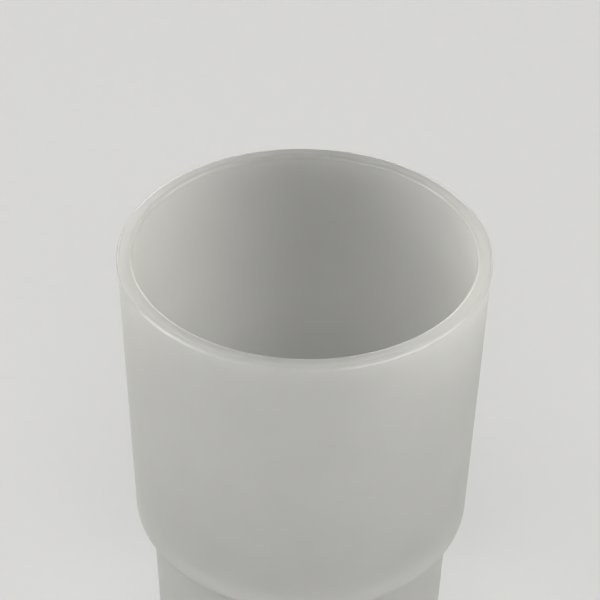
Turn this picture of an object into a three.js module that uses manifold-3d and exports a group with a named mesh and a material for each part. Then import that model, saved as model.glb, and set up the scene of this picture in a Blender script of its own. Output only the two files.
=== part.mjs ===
// A wall-mounted toothbrush holder: a frosted glass tumbler with a stepped foot, standing in a low chromed
// ring that a short arm carries from a round wall flange.
// Millimetres, +Z up. The wall is the plane y = 0, with the room on the -Y side.
// The origin is the centre of the wall plate's back face, on the axis of the arm.
import * as THREE from 'three';
import { mergeVertices } from 'three/addons/utils/BufferGeometryUtils.js';
import Module from 'manifold-3d';

// Tumbler
const RIM_DIAMETER = 68;
const RIM_BEAD = 0.2; // how far the polished rim stands proud of the wall
const RIM_BEAD_HEIGHT = 2.4;
const RIM_ROUND = 0.6;
const GLASS_WALL = 2.25;
const UPPER_HEIGHT = 59.8; // rim to shoulder
const UPPER_DRAFT = 1.34; // degrees
const SHOULDER_WIDTH = 3;
const SHOULDER_ROUND = 1.7;
const SHOULDER_FILLET = 1;
const FOOT_HEIGHT = 50.2; // shoulder to base
const FOOT_DRAFT = 1.67; // degrees
const FOOT_WALL = 2.6;
const BASE_THICKNESS = 7;
const BASE_ROUND = 2.2;
const BASE_LAND = 4; // width of the ring that the glass stands on
const PUNT_DEPTH = 1.6; // hollow under the base
const PUNT_SLOPE = 7; // run of the hollow's sloping border
const PUNT_ROUND = 2;
const INNER_SHOULDER_ROUND = 3;
const INNER_BASE_ROUND = 7;

// Holder ring and its soft seat
const RING_HEIGHT = 16;
const RING_WALL = 2.4;
const RING_CLEARANCE = 0.4; // between the foot and the bore at the ring's top edge
const RING_EDGE_ROUND = 1.1;
const BOSS_DEPTH = 1.5; // how far the arm's flat seat stands out of the ring
const LIP_WIDTH = 6;
const LIP_THICKNESS = 2.6;
const LIP_EDGE_ROUND = 0.8;
const SEAT_THICKNESS = 1.5;
const SEAT_EDGE_ROUND = 0.4;

// Arm and flange
const ARM_DIAMETER = 14;
const ARM_LENGTH = 25; // flange to ring
const SPIGOT_STEP = 2; // shoulder between the arm and the end that centres the flange
const FLANGE_DIAMETER = 56;
const FLANGE_FACE = 2.5;
const FLANGE_WALL = 3.2;
const FLANGE_ROUND = 3;
const FLANGE_INNER_ROUND = 1;
const FLANGE_BACK_ROUND = 0.5;

// Wall plate and what fixes it
const PLATE_FLOOR = 3.5; // metal left behind the pocket for the arm's screw
const PLATE_FACE_GAP = 0.8; // between the plate's front and the inside of the flange
const PLATE_CLEARANCE = 0.5; // between the plate's edge and the flange's wall
const PLATE_UNDERCUT = 1.6;
const POCKET_CLEARANCE = 0.8;
const SCREW_EDGE_MARGIN = 5; // metal between a wall screw's head and the plate's back edge
const WALL_SCREW_DIAMETER = 4;
const WALL_SCREW_HEAD = 7.6;
const WALL_SCREW_LENGTH = 35;
const WALL_SCREW_POINT = 5;
const WALL_SCREW_TIP_DIAMETER = 0.4;
const PLUG_WALL = 1.2;
const PLUG_LENGTH = 30;
const PLUG_RECESS = 3; // how far the plug sits below the wall's face
const PLUG_COLLAR = 6; // plain end before the barbs
const PLUG_BARBS = 4;
const PLUG_BARB_DEPTH = 0.6;
const PLUG_SLIT = 1.1;

// Machine screws
const ARM_SCREW_DIAMETER = 5;
const ARM_SCREW_HEAD = 9;
const ARM_SCREW_HEAD_HEIGHT = 2.6;
const ARM_SCREW_HEAD_ROUND = 1.8;
const ARM_SCREW_HEAD_CLEARANCE = 0.6; // between the head and the pocket's floor
const WASHER_THICKNESS = 1;
const WASHER_OVERLAP = 2.5; // how far the washer covers the flange round its hole
const RING_SCREW_DIAMETER = 4;
const RING_SCREW_HEAD = 8;
const RING_SCREW_SINK = 0.5; // head below the ring's bore
const RING_SCREW_CHAMFER = 0.5;
const SCREW_ENGAGEMENT = 8; // length of each screw inside the arm
const TAP_DEPTH = 1.5; // how much deeper a tapped hole is than its screw
const GRUB_DIAMETER = 4;
const GRUB_SINK = 0.4; // end below the flange's outer face
const GRUB_SOCKET = 2; // across the flats
const GRUB_SOCKET_DEPTH = 1.6;
const GRUB_TIP_DIAMETER = 1.6;
const CROSS_WIDTH = 1.1; // arms of a cross recess
const CROSS_SHARE = 0.62; // span of a cross recess, as a share of its head
const CROSS_DEPTH = 1.3;
const HEAD_EDGE = 0.4; // straight edge of a countersunk head

// Fits and facets
const FIT_GAP = 0.3; // between faces that rest on each other, and round each screw
const OVERCUT = 2; // how far a cutter runs past the face it opens
const ROUND_FACETS = 48;
const ARM_FACETS = 32;
const SCREW_FACETS = 16;
const HEXAGON = 6;
const CORNER_STEPS = 3;
const CHAMFER_BELOW = 0.65; // a smaller round is one chamfer
const CORNER_SHARE = 0.48; // most of a side that one corner's round may take

const tan = (degrees) => Math.tan(THREE.MathUtils.degToRad(degrees));

// Tumbler, from its rim and drafts
const tumblerHeight = UPPER_HEIGHT + FOOT_HEIGHT;
const rimRadius = RIM_DIAMETER / 2;
const upperRadius = (depth) => rimRadius - RIM_BEAD - depth * tan(UPPER_DRAFT);
const shoulderRadius = upperRadius(UPPER_HEIGHT);
const baseRadius = shoulderRadius - SHOULDER_WIDTH - FOOT_HEIGHT * tan(FOOT_DRAFT);
const footRadius = (height) => baseRadius + height * tan(FOOT_DRAFT);

// Ring and seat, from the foot that stands in them; the ring's middle is at the arm's height
const ringTop = RING_HEIGHT / 2;
const ringBottom = -ringTop;
const lipTop = ringBottom + LIP_THICKNESS;
const seatBottom = lipTop + FIT_GAP;
const tumblerBase = seatBottom + SEAT_THICKNESS + FIT_GAP;
const ringBore = footRadius(ringTop - tumblerBase) + RING_CLEARANCE;
const ringRadius = ringBore + RING_WALL;
const lipRadius = ringBore - LIP_WIDTH;
const bossFace = ringRadius + BOSS_DEPTH;

// Distances from the wall, from the plate's pocket outwards
const armScrewSeat = PLATE_FLOOR + ARM_SCREW_HEAD_CLEARANCE + ARM_SCREW_HEAD_HEIGHT;
const washerBack = armScrewSeat + FIT_GAP;
const flangeInside = washerBack + WASHER_THICKNESS + FIT_GAP;
const plateThickness = flangeInside - PLATE_FACE_GAP;
const flangeDepth = flangeInside + FLANGE_FACE;
const spigotEnd = flangeInside + FIT_GAP;
const armStart = flangeDepth + FIT_GAP;
const armEnd = armStart + ARM_LENGTH;
const projection = armEnd + FIT_GAP + bossFace; // wall to the tumbler's axis
const armScrewTip = spigotEnd + SCREW_ENGAGEMENT;
const ringScrewTip = armEnd - SCREW_ENGAGEMENT;
const ringScrewFace = projection - ringBore - RING_SCREW_SINK;

// Radii round the arm's axis
const armRadius = ARM_DIAMETER / 2;
const spigotRadius = armRadius - SPIGOT_STEP;
const spigotHole = spigotRadius + FIT_GAP;
const washerRadius = spigotHole + WASHER_OVERLAP;
const pocketRadius = Math.max(washerRadius, ARM_SCREW_HEAD / 2) + POCKET_CLEARANCE;
const flangeRadius = FLANGE_DIAMETER / 2;
const flangeInner = flangeRadius - FLANGE_WALL;
const plateRadius = flangeInner - PLATE_CLEARANCE;
const wallScrewOffset = plateRadius - PLATE_UNDERCUT - SCREW_EDGE_MARGIN - WALL_SCREW_HEAD / 2;

// The grub screw meets the plate's sloping edge halfway up it, clear of the slope at its tip's rim
const grubHeight = plateThickness / 2;
const grubTipRise = (GRUB_TIP_DIAMETER / 2) * (PLATE_UNDERCUT / plateThickness);
const grubSeat = plateRadius - PLATE_UNDERCUT / 2 + grubTipRise + FIT_GAP;
const grubLength = flangeRadius - GRUB_SINK - grubSeat;

// Materials
const finish = (color, roughness, metalness) =>
  new THREE.MeshStandardMaterial({ color, roughness, metalness, flatShading: true });
const frostedGlass = finish(0xbfc1ba, 0.6, 0);
const chrome = finish(0xd3d6d9, 0.08, 1);
const zincedSteel = finish(0xa9adb1, 0.35, 1);
const softSilicone = finish(0x6f7374, 0.7, 0);
const greyNylon = finish(0x8f9496, 0.6, 0);

const wasm = await Module();
wasm.setup();

// Merges what the geometry classes leave split and drops the triangles that collapse on an axis.
function closedSurface(geometry) {
  const bare = geometry.clone();
  bare.deleteAttribute('normal');
  bare.deleteAttribute('uv');
  const merged = mergeVertices(bare);
  const corners = merged.index.array;
  const kept = [];
  for (let i = 0; i < corners.length; i += 3) {
    const [a, b, c] = corners.slice(i, i + 3);
    if (a !== b && b !== c && c !== a) kept.push(a, b, c);
  }
  merged.setIndex(kept);
  return merged;
}

function solidOf(geometry) {
  const surface = closedSurface(geometry);
  const vertProperties = new Float32Array(surface.attributes.position.array);
  const triVerts = new Uint32Array(surface.index.array);
  return new wasm.Manifold(new wasm.Mesh({ numProp: 3, vertProperties, triVerts }));
}

function geometryOf(solid) {
  const mesh = solid.getMesh();
  const geometry = new THREE.BufferGeometry();
  geometry.setAttribute('position', new THREE.BufferAttribute(mesh.vertProperties, 3));
  geometry.setIndex(new THREE.BufferAttribute(mesh.triVerts, 1));
  return geometry;
}

const join = (body, piece) => geometryOf(solidOf(body).add(solidOf(piece)));

const cut = (body, ...cutters) =>
  geometryOf(cutters.reduce((solid, cutter) => solid.subtract(solidOf(cutter)), solidOf(body)));

// Points of the arc that rounds one corner of an outline, limited by its shorter side.
function roundedCorner(before, corner, after, radius) {
  const back = before.clone().sub(corner);
  const onward = after.clone().sub(corner);
  const half = back.angleTo(onward) / 2;
  const room = Math.min(back.length(), onward.length()) * CORNER_SHARE;
  const reach = Math.min(radius / Math.tan(half), room);
  const arcRadius = reach * Math.tan(half);
  const clockwise = back.cross(onward) > 0;
  back.normalize();
  onward.normalize();
  const centre = back.clone().add(onward).setLength(reach / Math.cos(half)).add(corner);
  const start = back.multiplyScalar(reach).add(corner).sub(centre).angle();
  const end = onward.multiplyScalar(reach).add(corner).sub(centre).angle();
  const arc = new THREE.EllipseCurve(centre.x, centre.y, arcRadius, arcRadius, start, end, clockwise);
  return arc.getPoints(radius < CHAMFER_BELOW ? 1 : CORNER_STEPS);
}

// An outline from corners of [radius, height, round], anticlockwise with the radius to the right.
function outline(corners, closed) {
  const places = corners.map(([x, y]) => new THREE.Vector2(x, y));
  const points = corners.flatMap(([, , round], i) => {
    if (!round) return [places[i]];
    const before = places.at(i - 1);
    const after = places[(i + 1) % places.length];
    return roundedCorner(before, places[i], after, round);
  });
  return closed ? [...points, points[0]] : points;
}

// Turns an outline round the Z axis. A ring's outline closes on itself, any other ends on the axis.
function turned(corners, facets, closed = false) {
  return new THREE.LatheGeometry(outline(corners, closed), facets).rotateX(Math.PI / 2);
}

const ringTurned = (corners, facets) => turned(corners, facets, true);

const rod = (radius, from, to, facets) =>
  turned([[0, from], [radius, from], [radius, to], [0, to]], facets);

// Boxes of a cross recess, cut down from z = 0.
function crossRecess(headDiameter) {
  const span = headDiameter * CROSS_SHARE;
  const depth = CROSS_DEPTH + OVERCUT;
  const arm = new THREE.BoxGeometry(span, CROSS_WIDTH, depth).translate(0, 0, OVERCUT - depth / 2);
  return [arm, arm.clone().rotateZ(Math.PI / 2)];
}

// A countersunk screw along -Z with its head's face at z = 0, tapering to its tip over the last stretch.
function countersunkScrew(diameter, head, length, tipDiameter, taper) {
  const shank = diameter / 2;
  const headRadius = head / 2;
  const coneEnd = -HEAD_EDGE - (headRadius - shank);
  const body = turned(
    [[0, -length], [tipDiameter / 2, -length], [shank, taper - length], [shank, coneEnd],
      [headRadius, -HEAD_EDGE], [headRadius, 0], [0, 0]],
    SCREW_FACETS,
  );
  return cut(body, ...crossRecess(head));
}

// The hole for such a screw, one fit gap wider all round and open past the head and the tip.
function countersunkHole(diameter, head, length) {
  const bore = diameter / 2 + FIT_GAP;
  const mouth = head / 2 + FIT_GAP;
  const coneTop = -HEAD_EDGE;
  return turned(
    [[0, -length], [bore, -length], [bore, coneTop - (mouth - bore) - FIT_GAP / 2],
      [mouth, coneTop - FIT_GAP / 2], [mouth, OVERCUT], [0, OVERCUT]],
    SCREW_FACETS,
  );
}

function makeTumbler() {
  const innerShoulder = shoulderRadius - GLASS_WALL;
  const innerFoot = (height) => footRadius(height) - FOOT_WALL;
  const innerStep = FOOT_HEIGHT + GLASS_WALL;
  const beadBottom = tumblerHeight - RIM_BEAD_HEIGHT;
  const landInner = baseRadius - BASE_LAND;
  return turned(
    [[0, PUNT_DEPTH], [landInner - PUNT_SLOPE, PUNT_DEPTH, PUNT_SLOPE], [landInner, 0, PUNT_ROUND],
      [baseRadius, 0, BASE_ROUND], [footRadius(FOOT_HEIGHT), FOOT_HEIGHT, SHOULDER_FILLET],
      [shoulderRadius, FOOT_HEIGHT, SHOULDER_ROUND], [upperRadius(RIM_BEAD_HEIGHT), beadBottom],
      [rimRadius, beadBottom + RIM_BEAD], [rimRadius, tumblerHeight, RIM_ROUND],
      [upperRadius(0) - GLASS_WALL, tumblerHeight, RIM_ROUND],
      [innerShoulder, innerStep, INNER_SHOULDER_ROUND],
      [innerFoot(innerStep), innerStep, INNER_SHOULDER_ROUND],
      [innerFoot(BASE_THICKNESS), BASE_THICKNESS, INNER_BASE_ROUND], [0, BASE_THICKNESS]],
    ROUND_FACETS,
  );
}

function makeSeat() {
  const inner = lipRadius + LIP_EDGE_ROUND;
  const outer = ringBore - FIT_GAP;
  return ringTurned(
    [[inner, 0, SEAT_EDGE_ROUND], [outer, 0, SEAT_EDGE_ROUND], [outer, SEAT_THICKNESS, SEAT_EDGE_ROUND],
      [inner, SEAT_THICKNESS, SEAT_EDGE_ROUND]],
    ROUND_FACETS,
  );
}

// The ring with the flat boss that the arm meets on its wall side.
function makeHolderRing() {
  const ring = ringTurned(
    [[lipRadius, ringBottom, LIP_EDGE_ROUND], [ringRadius, ringBottom, RING_EDGE_ROUND],
      [ringRadius, ringTop, RING_EDGE_ROUND], [ringBore, ringTop, RING_EDGE_ROUND], [ringBore, lipTop],
      [lipRadius, lipTop, LIP_EDGE_ROUND]],
    ROUND_FACETS,
  );
  const boss = rod(armRadius, -bossFace, -ringBore - RING_WALL / 4, ARM_FACETS).rotateX(Math.PI / 2);
  const screwHole = countersunkHole(RING_SCREW_DIAMETER, RING_SCREW_HEAD, RING_WALL + BOSS_DEPTH + OVERCUT);
  screwHole.rotateX(Math.PI / 2).translate(0, ringBore + RING_SCREW_SINK, 0);
  return cut(join(ring, boss), screwHole);
}

// Along +Z from the flange to the ring's boss, tapped at both ends.
function makeArm() {
  const body = turned(
    [[0, spigotEnd], [spigotRadius, spigotEnd], [spigotRadius, armStart], [armRadius, armStart],
      [armRadius, armEnd], [0, armEnd]],
    ARM_FACETS,
  );
  return cut(
    body,
    rod(ARM_SCREW_DIAMETER / 2 + FIT_GAP, spigotEnd - OVERCUT, armScrewTip + TAP_DEPTH, SCREW_FACETS),
    rod(RING_SCREW_DIAMETER / 2 + FIT_GAP, ringScrewTip - TAP_DEPTH, armEnd + OVERCUT, SCREW_FACETS),
  );
}

function makeFlange() {
  const cup = ringTurned(
    [[spigotHole, flangeInside], [flangeInner, flangeInside, FLANGE_INNER_ROUND], [flangeInner, 0],
      [flangeRadius, 0, FLANGE_BACK_ROUND], [flangeRadius, flangeDepth, FLANGE_ROUND],
      [spigotHole, flangeDepth]],
    ROUND_FACETS,
  );
  const grubBore = GRUB_DIAMETER / 2 + FIT_GAP;
  const grubHole = rod(grubBore, flangeInner - OVERCUT, flangeRadius + OVERCUT, SCREW_FACETS);
  return cut(cup, grubHole.rotateX(Math.PI / 2).translate(0, 0, grubHeight));
}

// The plate's edge slopes in towards the wall, and a pocket in its front clears the arm's screw.
function makePlate() {
  const disc = turned(
    [[0, 0], [plateRadius - PLATE_UNDERCUT, 0], [plateRadius, plateThickness], [pocketRadius, plateThickness],
      [pocketRadius, PLATE_FLOOR], [0, PLATE_FLOOR]],
    ROUND_FACETS,
  );
  const hole = countersunkHole(WALL_SCREW_DIAMETER, WALL_SCREW_HEAD, plateThickness + OVERCUT);
  const holes = [-wallScrewOffset, wallScrewOffset].map((x) => hole.clone().translate(x, 0, plateThickness));
  return cut(disc, ...holes);
}

// Along -Z from its collar, with barbs that narrow towards the far end and a slit between its two legs.
function makePlug() {
  const bore = WALL_SCREW_DIAMETER / 2 + FIT_GAP;
  const radius = bore + PLUG_WALL;
  const pitch = (PLUG_LENGTH - PLUG_COLLAR) / PLUG_BARBS;
  const barbs = [];
  for (let i = PLUG_BARBS; i > 0; i -= 1) {
    const far = -PLUG_COLLAR - i * pitch;
    barbs.push([radius - PLUG_BARB_DEPTH, far], [radius, far + pitch]);
  }
  const body = ringTurned([[bore, -PLUG_LENGTH], ...barbs, [radius, 0], [bore, 0]], SCREW_FACETS);
  const slitLength = PLUG_LENGTH - PLUG_COLLAR + OVERCUT;
  const slit = new THREE.BoxGeometry(PLUG_SLIT, 2 * (radius + OVERCUT), slitLength);
  return cut(body, slit.translate(0, 0, -PLUG_COLLAR - slitLength / 2));
}

// Along -Z with the head's flat underside at z = 0.
function makeArmScrew() {
  const length = armScrewTip - armScrewSeat;
  const shank = ARM_SCREW_DIAMETER / 2;
  const head = ARM_SCREW_HEAD / 2;
  const body = turned(
    [[0, -length], [shank, -length], [shank, 0], [head, 0],
      [head, ARM_SCREW_HEAD_HEIGHT, ARM_SCREW_HEAD_ROUND], [0, ARM_SCREW_HEAD_HEIGHT]],
    SCREW_FACETS,
  );
  const recess = crossRecess(ARM_SCREW_HEAD).map((box) => box.translate(0, 0, ARM_SCREW_HEAD_HEIGHT));
  return cut(body, ...recess);
}

function makeRingScrew() {
  const length = ringScrewFace - ringScrewTip;
  const tip = RING_SCREW_DIAMETER - 2 * RING_SCREW_CHAMFER;
  return countersunkScrew(RING_SCREW_DIAMETER, RING_SCREW_HEAD, length, tip, RING_SCREW_CHAMFER);
}

const makeWallScrew = () =>
  countersunkScrew(
    WALL_SCREW_DIAMETER, WALL_SCREW_HEAD, WALL_SCREW_LENGTH, WALL_SCREW_TIP_DIAMETER, WALL_SCREW_POINT,
  );

function makeWasher() {
  const hole = ARM_SCREW_DIAMETER / 2 + FIT_GAP;
  return ringTurned(
    [[hole, 0], [washerRadius, 0], [washerRadius, WASHER_THICKNESS], [hole, WASHER_THICKNESS]],
    ARM_FACETS,
  );
}

// Along -Z with its socket's face at z = 0 and a cone at the far end.
function makeGrubScrew() {
  const radius = GRUB_DIAMETER / 2;
  const tip = GRUB_TIP_DIAMETER / 2;
  const body = turned(
    [[0, -grubLength], [tip, -grubLength], [radius, -grubLength + radius - tip], [radius, 0], [0, 0]],
    SCREW_FACETS,
  );
  return cut(body, rod(GRUB_SOCKET / Math.sqrt(3), -GRUB_SOCKET_DEPTH, OVERCUT, HEXAGON));
}

function add(parent, name, geometry, material) {
  const surface = closedSurface(geometry);
  surface.computeVertexNormals();
  const mesh = new THREE.Mesh(surface, material);
  mesh.name = name;
  parent.add(mesh);
  return mesh;
}

const holder = new THREE.Group();
holder.name = 'toothbrush_holder';

// On the tumbler's own axis, +Z up
const tumblerAxis = new THREE.Group();
tumblerAxis.position.y = -projection;
holder.add(tumblerAxis);
add(tumblerAxis, 'tumbler', makeTumbler(), frostedGlass).position.z = tumblerBase;
add(tumblerAxis, 'tumbler_seat', makeSeat(), softSilicone).position.z = seatBottom;
add(tumblerAxis, 'holder_ring', makeHolderRing(), chrome);

// On the arm's axis: local z is the distance from the wall, local y is up
const armAxis = new THREE.Group();
armAxis.rotation.x = Math.PI / 2;
holder.add(armAxis);
add(armAxis, 'wall_plate', makePlate(), zincedSteel);
add(armAxis, 'wall_flange', makeFlange(), chrome);
add(armAxis, 'support_arm', makeArm(), chrome);
add(armAxis, 'arm_washer', makeWasher(), zincedSteel).position.z = washerBack;
add(armAxis, 'ring_screw', makeRingScrew(), zincedSteel).position.z = ringScrewFace;

const armScrew = add(armAxis, 'arm_screw', makeArmScrew(), zincedSteel);
armScrew.position.z = armScrewSeat;
armScrew.rotation.x = Math.PI;

const grubScrew = add(armAxis, 'grub_screw', makeGrubScrew(), zincedSteel);
grubScrew.position.set(0, GRUB_SINK - flangeRadius, grubHeight);
grubScrew.rotation.x = Math.PI / 2;

for (const [side, x] of [['left', -wallScrewOffset], ['right', wallScrewOffset]]) {
  add(armAxis, `wall_screw_${side}`, makeWallScrew(), zincedSteel).position.set(x, 0, plateThickness);
  add(armAxis, `wall_plug_${side}`, makePlug(), greyNylon).position.set(x, 0, -PLUG_RECESS);
}

export default holder;
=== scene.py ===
# %% [markdown]
# # A wall-mounted toothbrush holder
# A frosted glass stands in a low chromed ring. A short arm carries the ring from a round flange, and the
# flange hides the plate that two screws hold on the wall. The solids of all these pieces, at their real
# size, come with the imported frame. This lesson dresses them: each solid is replaced by a finer mesh in
# the same place, with a finish made of shader nodes, and nothing is moved or resized.

# %% Load the frame
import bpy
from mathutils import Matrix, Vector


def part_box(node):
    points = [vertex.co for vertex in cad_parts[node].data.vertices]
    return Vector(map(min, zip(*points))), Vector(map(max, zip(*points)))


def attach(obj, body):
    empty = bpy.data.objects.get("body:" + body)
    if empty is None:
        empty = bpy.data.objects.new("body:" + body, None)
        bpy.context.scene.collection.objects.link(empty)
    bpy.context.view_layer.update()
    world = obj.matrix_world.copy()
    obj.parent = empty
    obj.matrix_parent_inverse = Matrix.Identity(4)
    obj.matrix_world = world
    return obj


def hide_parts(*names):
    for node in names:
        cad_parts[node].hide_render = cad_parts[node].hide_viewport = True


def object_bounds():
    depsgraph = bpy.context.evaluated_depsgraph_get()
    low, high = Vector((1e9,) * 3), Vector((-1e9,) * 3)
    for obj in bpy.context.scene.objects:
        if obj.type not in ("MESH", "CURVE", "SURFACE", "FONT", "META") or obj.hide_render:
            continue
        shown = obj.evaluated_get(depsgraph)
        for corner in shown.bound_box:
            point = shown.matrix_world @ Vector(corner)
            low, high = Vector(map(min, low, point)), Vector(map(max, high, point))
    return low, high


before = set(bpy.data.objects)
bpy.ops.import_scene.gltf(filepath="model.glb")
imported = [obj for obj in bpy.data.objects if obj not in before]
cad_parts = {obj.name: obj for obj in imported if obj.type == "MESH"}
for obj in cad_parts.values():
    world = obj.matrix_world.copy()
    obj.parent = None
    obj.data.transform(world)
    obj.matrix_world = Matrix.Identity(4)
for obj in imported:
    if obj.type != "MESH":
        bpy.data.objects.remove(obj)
cad_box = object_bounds()

# %% [markdown]
# ## Turning outlines
# The glass, the ring, the arm, the flange and the screws are all turned shapes. Blender's Screw modifier
# could turn an outline too, but a function of our own also lets the radius change on the way round, and
# that is how the screws get their threads later. An outline is a list of corners, each a radius and a
# height in metres. A third number rounds the corner with an arc, because no real edge is perfectly sharp.

# %% Outlines with rounded corners
import math
import bmesh
import bpy
from mathutils import Matrix, Vector

MM = 0.001
ARC_STEPS = 10
ARC_ROOM = 0.48  # most of a side that one corner's arc may take


def arc_at(before, corner, after, radius):
    """Points of the arc that rounds one corner of an outline."""
    back = before - corner
    onward = after - corner
    half = back.angle(onward) / 2
    room = ARC_ROOM * min(back.length, onward.length)
    reach = min(radius / math.tan(half), room)
    bisector = (back.normalized() + onward.normalized()).normalized()
    centre = corner + bisector * (reach / math.cos(half))
    spoke = corner + back.normalized() * reach - centre
    sweep = math.pi - 2 * half
    if back.cross(onward) > 0:
        sweep = -sweep
    turns = [Matrix.Rotation(sweep * step / ARC_STEPS, 2) for step in range(ARC_STEPS + 1)]
    return [centre + turn @ spoke for turn in turns]


def outline(corners, closed=False):
    """Points of an outline, anticlockwise with the radius to the right. A closed one ends at its start."""
    places = [Vector(corner[:2]) for corner in corners]
    points = []
    for index, corner in enumerate(corners):
        if len(corner) == 2:
            points.append(places[index])
            continue
        after = places[(index + 1) % len(places)]
        points.extend(arc_at(places[index - 1], places[index], after, corner[2]))
    if closed:
        points.append(points[0])
    return points


def divided(points, step, low=-math.inf, high=math.inf):
    """The same outline with more points, so that no stretch from low to high is longer than step."""
    fine = points[:1]
    for start, end in zip(points, points[1:]):
        inside = low <= min(start.y, end.y) and max(start.y, end.y) <= high
        parts = max(1, math.ceil((end - start).length / step)) if inside else 1
        fine.extend(start.lerp(end, part / parts) for part in range(1, parts + 1))
    return fine


print("a rounded corner has", ARC_STEPS + 1, "points")

# %% A lathe
ON_AXIS = 1e-6  # a radius below this is a point on the axis
WELD = 1e-7  # points closer than this become one


def new_piece(name, mesh):
    data = bpy.data.meshes.new(name)
    mesh.to_mesh(data)
    mesh.free()
    piece = bpy.data.objects.new(name, data)
    bpy.context.scene.collection.objects.link(piece)
    return piece


def turned(name, points, segments, reach=None):
    """Turns an outline round Z. reach(angle, radius, height) may change the radius on the way round."""
    mesh = bmesh.new()
    rings = []
    for radius, height in points:
        if radius < ON_AXIS:
            rings.append([mesh.verts.new((0, 0, height))])
            continue
        ring = []
        for part in range(segments):
            angle = math.tau * part / segments
            out = reach(angle, radius, height) if reach else radius
            ring.append(mesh.verts.new((out * math.cos(angle), out * math.sin(angle), height)))
        rings.append(ring)
    for lower, upper in zip(rings, rings[1:]):
        for part in range(segments):
            onward = (part + 1) % segments
            corners = [lower[part % len(lower)], lower[onward % len(lower)]]
            corners += [upper[onward % len(upper)], upper[part % len(upper)]]
            mesh.faces.new(list(dict.fromkeys(corners)))
    bmesh.ops.remove_doubles(mesh, verts=mesh.verts, dist=WELD)
    return new_piece(name, mesh)


def carve(piece, tool, operation="DIFFERENCE"):
    """Cuts the tool out of the piece, or joins it on with UNION, and removes the tool."""
    modifier = piece.modifiers.new("carve", "BOOLEAN")
    modifier.operation = operation
    modifier.solver = "EXACT"
    modifier.object = tool
    graph = bpy.context.evaluated_depsgraph_get()
    carved = bpy.data.meshes.new_from_object(piece.evaluated_get(graph))
    piece.modifiers.clear()
    piece.data = carved
    bpy.data.objects.remove(tool)


print("lathe ready: outlines are turned round Z and then placed")

# %% [markdown]
# ## Dressing a piece
# Every mesh goes through the same last step. Smooth shading rounds the many flat faces, real edges stay
# sharp by their angle, and the Weighted Normal modifier keeps large flat faces flat next to their rounded
# edges. Then the piece takes its finish and says which solid it stands for and which body it moves with.

# %% Smoothing, finish and body
SHARP_ANGLE = math.radians(32)
FINISH_SUFFIX = "_finish"


def dress(piece, node, finish, place=Matrix.Identity(4), body="holder"):
    data = piece.data
    data.transform(place)
    data.shade_smooth()
    data.set_sharp_from_angle(angle=SHARP_ANGLE)
    data.materials.clear()
    data.materials.append(finish)
    even = piece.modifiers.new("even_shading", "WEIGHTED_NORMAL")
    even.keep_sharp = True
    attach(piece, body)
    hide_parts(node)
    print(piece.name, "stands for", node, "with", len(data.polygons), "faces")


print("edges sharper than", round(math.degrees(SHARP_ANGLE)), "degrees stay crisp")

# %% [markdown]
# ## Building blocks for finishes
# A finish is a small graph of nodes. Noise that is fixed to the piece gives it blotches and grain of a
# known size, a colour ramp or a range turns that noise into tones or roughness, and a bump node turns it
# into a fine relief. Sizes are real ones in metres, so a grain of 0.3 mm is written as 0.3 mm.

# %% Node helpers
NOISE_LOW = 0.3  # nearly all of a noise texture lies between these two values
NOISE_HIGH = 0.7


def new_finish(slot):
    finish = bpy.data.materials.new(slot + FINISH_SUFFIX)
    finish.use_nodes = True
    return finish, finish.node_tree, finish.node_tree.nodes["Principled BSDF"]


def grain(tree, size, detail=2.0, stretch=(1, 1, 1)):
    """Noise between 0 and 1 whose blotches are about this size."""
    place = tree.nodes.new("ShaderNodeTexCoord")
    mapping = tree.nodes.new("ShaderNodeMapping")
    mapping.inputs["Scale"].default_value = stretch
    noise = tree.nodes.new("ShaderNodeTexNoise")
    noise.inputs["Scale"].default_value = 1 / size
    noise.inputs["Detail"].default_value = detail
    tree.links.new(place.outputs["Object"], mapping.inputs["Vector"])
    tree.links.new(mapping.outputs["Vector"], noise.inputs["Vector"])
    return noise.outputs["Fac"]


def tones(tree, factor, stops):
    """Colours along a ramp: stops are (position, linear colour)."""
    ramp = tree.nodes.new("ShaderNodeValToRGB")
    elements = ramp.color_ramp.elements
    while len(elements) < len(stops):
        elements.new(1)
    for element, (position, colour) in zip(elements, stops):
        element.position = position
        element.color = (*colour, 1)
    tree.links.new(factor, ramp.inputs["Fac"])
    return ramp.outputs["Color"]


def between(tree, factor, low, high):
    """Turns noise into a number from low to high."""
    spread = tree.nodes.new("ShaderNodeMapRange")
    spread.inputs["From Min"].default_value = NOISE_LOW
    spread.inputs["From Max"].default_value = NOISE_HIGH
    spread.inputs["To Min"].default_value = low
    spread.inputs["To Max"].default_value = high
    tree.links.new(factor, spread.inputs["Value"])
    return spread.outputs["Result"]


def relief(tree, height, depth, strength, under=None):
    """A bump of this depth, on top of another relief if one is given."""
    bump = tree.nodes.new("ShaderNodeBump")
    bump.inputs["Strength"].default_value = strength
    bump.inputs["Distance"].default_value = depth
    tree.links.new(height, bump.inputs["Height"])
    if under:
        tree.links.new(under, bump.inputs["Normal"])
    return bump.outputs["Normal"]


def scaled(colour, share):
    return tuple(channel * share for channel in colour)


def mottled(tree, noise, tone, low, high):
    """A tone that noise varies, from low times itself to high times itself."""
    return tones(tree, noise, [(NOISE_LOW, scaled(tone, low)), (NOISE_HIGH, scaled(tone, high))])


print("helpers: grain, tones, between, relief, mottled")

# %% [markdown]
# ## The tumbler
# The wide upper part holds the brushes and the narrower foot drops into the ring. Both taper a little, so
# that the pressing plunger can leave the glass. Modelling by hand from a cylinder would work, but the
# outline says more with fewer numbers: rim, draft, shoulder, foot, base. A flame softens the rim at the
# end, so it is thicker and rounder than the wall and stands slightly proud of it. A wander of a few
# hundredths of a millimetre round the wall keeps the highlights from looking machined.

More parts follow.
